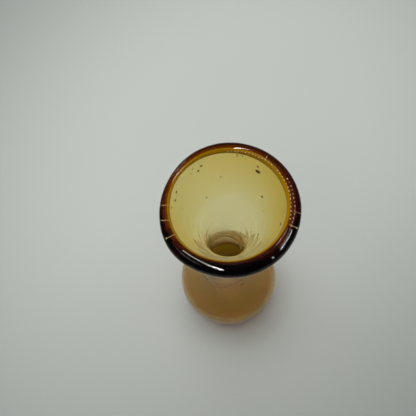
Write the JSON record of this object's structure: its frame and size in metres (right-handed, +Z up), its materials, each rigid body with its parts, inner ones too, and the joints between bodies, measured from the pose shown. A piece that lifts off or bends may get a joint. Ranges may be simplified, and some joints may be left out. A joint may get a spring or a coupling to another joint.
{
  "type": "bud vase",
  "caption": "Free-blown straw glass bud vase: a thick-based bulb, a narrow waist and a flared cup, edged with a fused bead of dark amber glass. Stands on a ground foot.",
  "frame": {"origin": "centre of the foot, on the surface that the vase stands on", "axes": "+Z up along the vase's own axis, from the foot to the lip"},
  "size_m": [0.066, 0.066, 0.182],
  "materials": {
    "straw_glass": "fire-polished, clear, straw yellow",
    "amber_glass": "fire-polished, deep amber brown"
  },
  "bodies": {
    "root": {"blown_body": "straw_glass", "lip_wrap": "amber_glass"}
  },
  "joints": []
}
